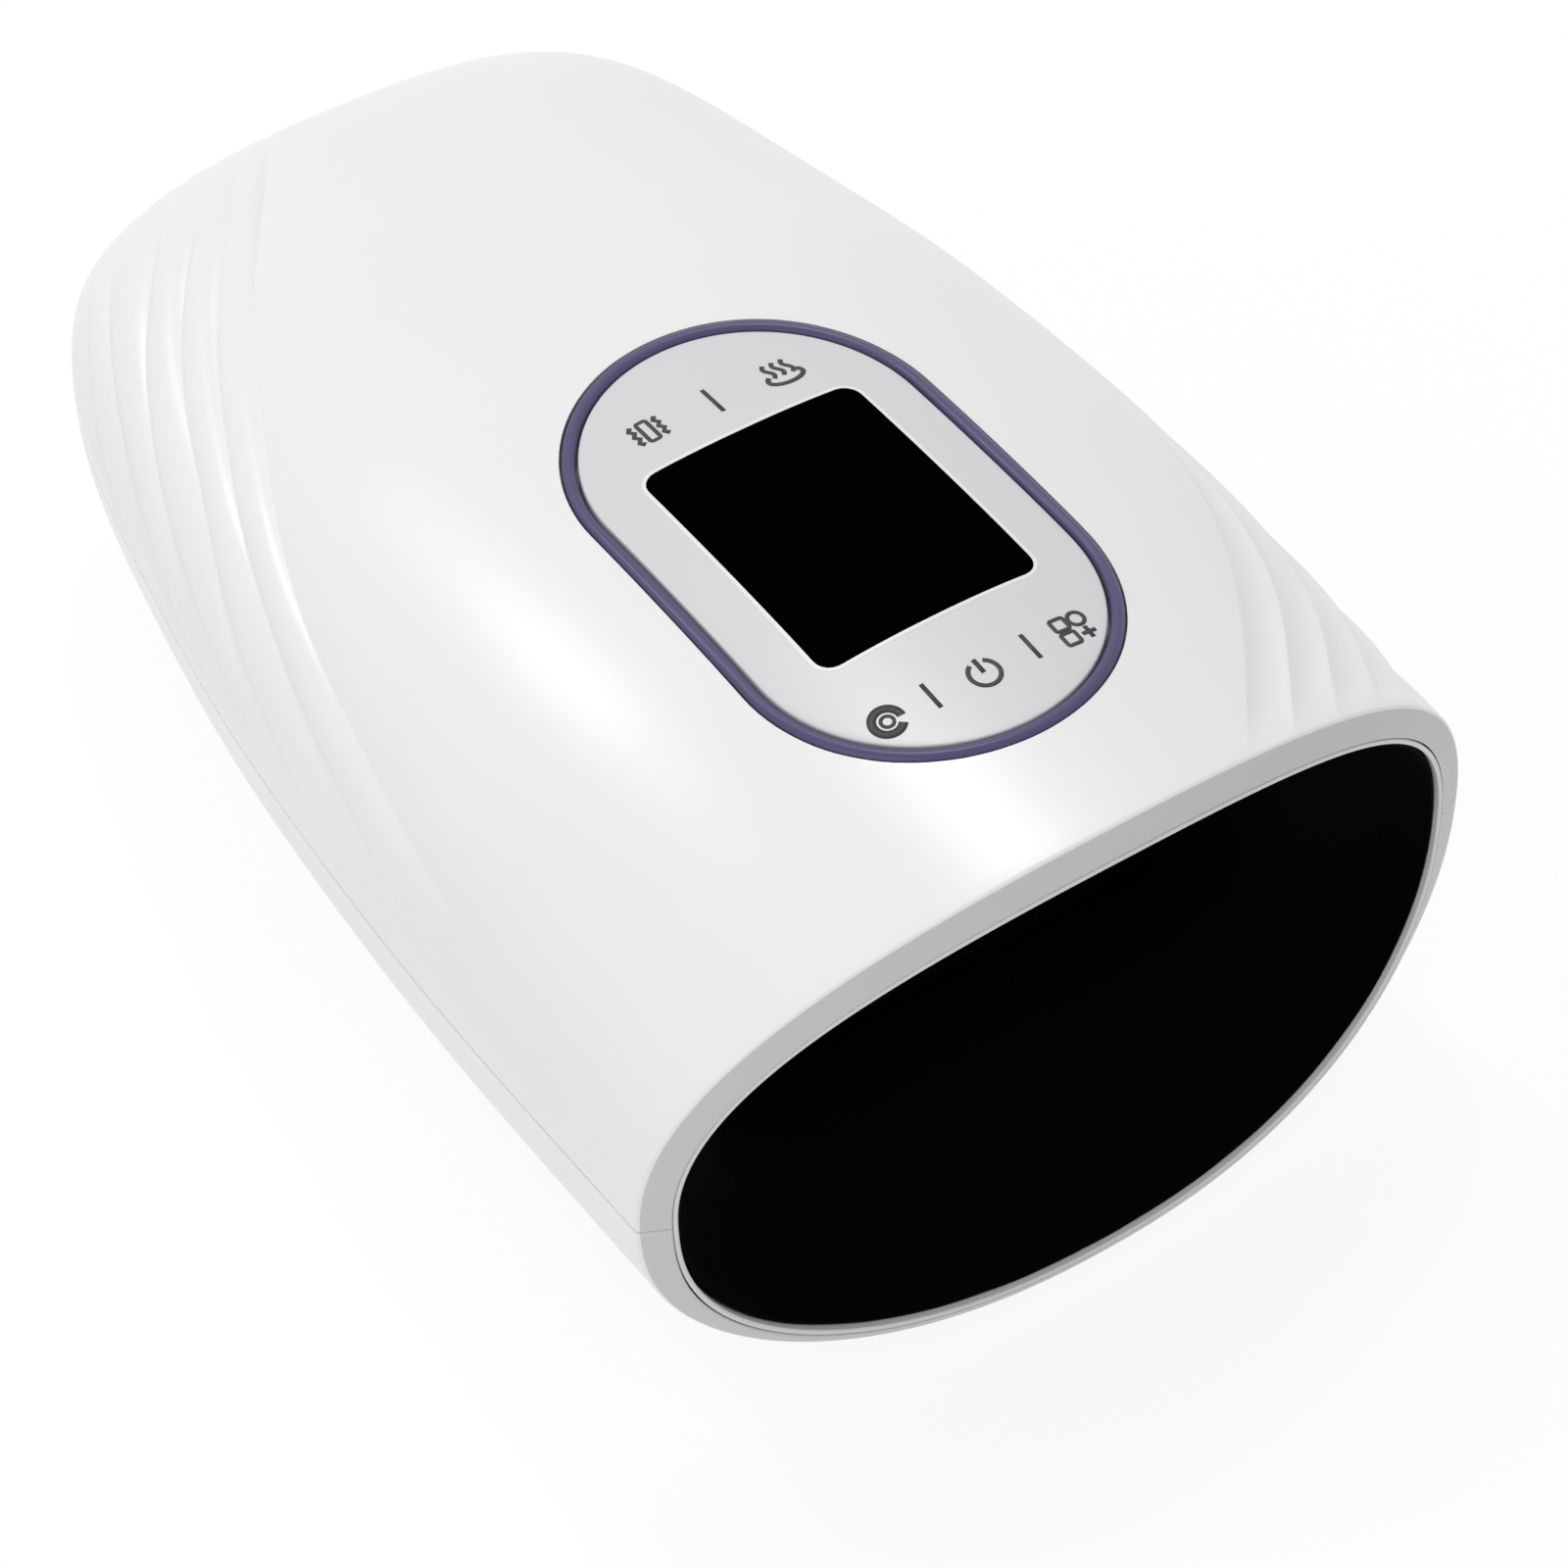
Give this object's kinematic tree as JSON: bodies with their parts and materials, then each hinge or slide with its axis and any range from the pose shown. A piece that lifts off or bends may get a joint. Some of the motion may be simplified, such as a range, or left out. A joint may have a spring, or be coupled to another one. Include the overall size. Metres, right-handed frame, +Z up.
{
  "type": "hand massager",
  "caption": "Cordless air-pressure hand massager: a white mouse-shaped casing open at one end, with a fabric pocket, cushions on air bags and a touch panel in a ring.",
  "frame": {"origin": "centre of the object's box, on the plane that the four feet stand on", "axes": "+Y from the mouth, where the hand goes in, to the closed nose; +Z up through the control panel; +X to the right seen from the mouth"},
  "size_m": [0.1556, 0.244, 0.0989],
  "materials": {
    "casing_white": "satin white moulded plastic",
    "panel_grey": "smooth light grey plastic",
    "ring_purple": "satin dark purple plastic",
    "window_black": "polished black window",
    "fabric_black": "matt black woven cloth",
    "frame_grey": "plain moulded plastic",
    "rubber_dark": "matt rubber",
    "bag_vinyl": "soft welded sheet",
    "board_green": "coated circuit board",
    "steel": "bright steel",
    "can_metal": "bright drawn can",
    "cell_wrap": "shrunk plastic wrap over a metal can",
    "film_copper": "printed heating film",
    "foam_grey": "soft foam",
    "silicone": "translucent silicone"
  },
  "bodies": {
    "casing": {"upper_shell": "casing_white", "lower_shell": "casing_white", "mouth_ring": "casing_white", "fabric_liner": "fabric_black", "panel_ring": "ring_purple", "control_panel": "panel_grey", "screen_window": "window_black", "display_module": "can_metal", "touch_board": "board_green", "upper_frame": "frame_grey", "lower_frame": "frame_grey", "upper_air_bag": "bag_vinyl", "lower_air_bag": "bag_vinyl", "pump_motor": "can_metal", "pump_head": "frame_grey", "pump_diaphragm": "rubber_dark", "pump_sleeve": "foam_grey", "pump_bracket": "frame_grey", "valve_body": "can_metal", "valve_spring": "steel", "pump_hose": "silicone", "upper_hose": "silicone", "lower_hose": "silicone", "main_board": "board_green", "charging_socket": "steel", "battery_cell_1": "cell_wrap", "battery_cell_2": "cell_wrap", "battery_holder": "frame_grey", "vibration_motor": "can_metal", "vibration_bracket": "frame_grey", "foot_1": "rubber_dark", "foot_2": "rubber_dark", "foot_3": "rubber_dark", "foot_4": "rubber_dark", "case_screw_1": "steel", "case_screw_2": "steel", "case_screw_3": "steel", "case_screw_4": "steel", "case_screw_5": "steel", "case_screw_6": "steel"},
    "upper_press": {"upper_press_plate": "frame_grey", "heating_film": "film_copper", "upper_cushion": "fabric_black"},
    "lower_press": {"knuckle_plate": "frame_grey", "lower_cushion": "fabric_black"},
    "crank": {"pump_crank": "steel"},
    "weight": {"vibration_weight": "steel"},
    "plunger": {"valve_plunger": "steel"}
  },
  "joints": [
    {"name": "upper_press_slide", "type": "slide", "parent": "casing", "child": "upper_press", "axis": [0, 0, -1], "range_m": [0, 0.012], "stiffness_N_per_m": 150, "springref_m": -0.012, "deforming": ["upper_air_bag"]},
    {"name": "lower_press_slide", "type": "slide", "parent": "casing", "child": "lower_press", "axis": [0, 0, 1], "range_m": [0, 0.006], "deforming": ["lower_air_bag"]},
    {"name": "pump_crank_spin", "type": "hinge", "parent": "casing", "child": "crank", "pos_m": [-0.0008, 0.0785, 0.0605], "axis": [1, 0, 0], "continuous": true},
    {"name": "vibration_weight_spin", "type": "hinge", "parent": "casing", "child": "weight", "pos_m": [-0.06384, -0.03, 0.034], "axis": [0, 1, 0], "continuous": true},
    {"name": "valve_plunger_slide", "type": "slide", "parent": "casing", "child": "plunger", "axis": [-1, 0, 0], "range_m": [0, 0.0015], "stiffness_N_per_m": 150, "springref_m": -0.002, "deforming": ["valve_spring"]}
  ]
}
